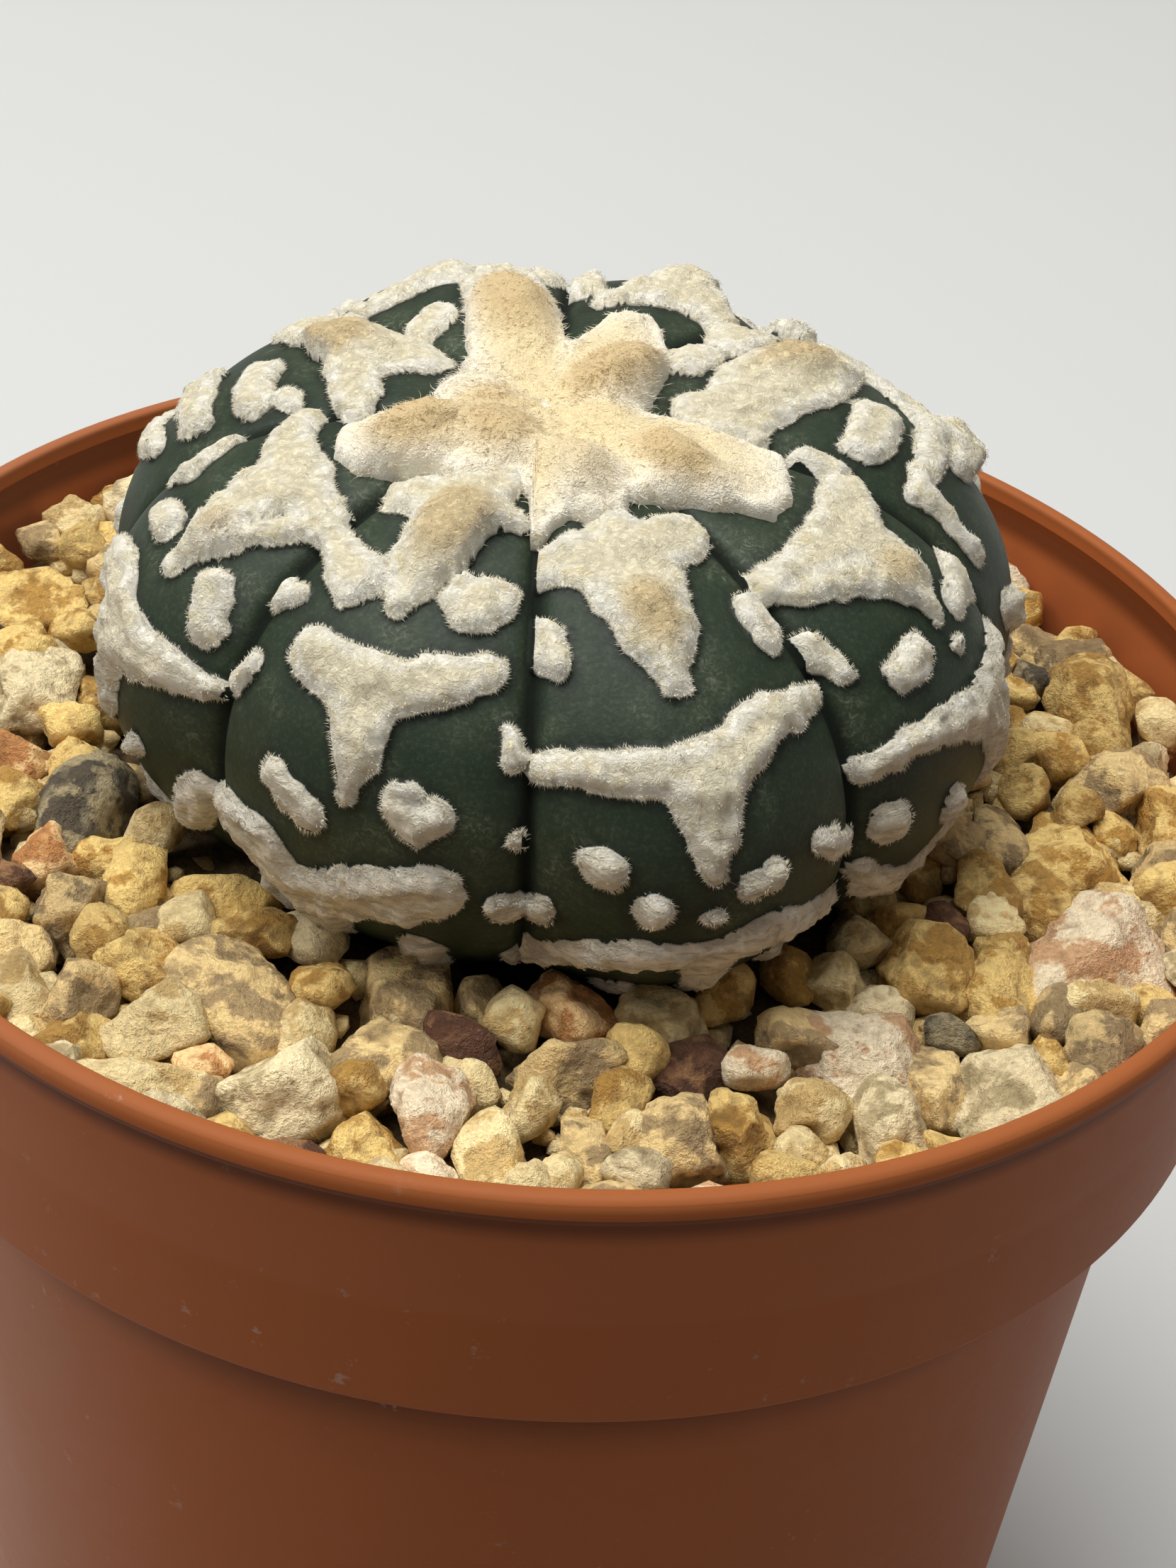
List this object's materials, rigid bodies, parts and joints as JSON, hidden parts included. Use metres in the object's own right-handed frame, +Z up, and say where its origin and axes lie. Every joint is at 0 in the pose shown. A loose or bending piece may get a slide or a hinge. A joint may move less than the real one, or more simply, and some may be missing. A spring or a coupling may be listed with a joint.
{
  "type": "potted star cactus",
  "caption": "Flattened eight-ribbed globe cactus with V-shaped felt flecks, set in a gravel-topped round plastic pot with a stepped collar.",
  "frame": {"origin": "centre of the pot's foot ring on the surface that the pot stands on", "axes": "+Z up along the pot's axis, -Y towards the side that the picture shows, +X to the right of it"},
  "size_m": [0.075, 0.075, 0.0858],
  "materials": {
    "pot_plastic": "satin",
    "potting_mix": "matte",
    "mineral_grit": "matte",
    "cactus_skin": "matte",
    "cactus_wool": "matte",
    "root_bark": "matte"
  },
  "bodies": {
    "root": {"pot": "pot_plastic", "potting_mix": "potting_mix", "grit_top_dressing": "mineral_grit", "cactus_body": "cactus_skin", "crown_wool": "cactus_wool", "taproot": "root_bark"}
  },
  "joints": []
}
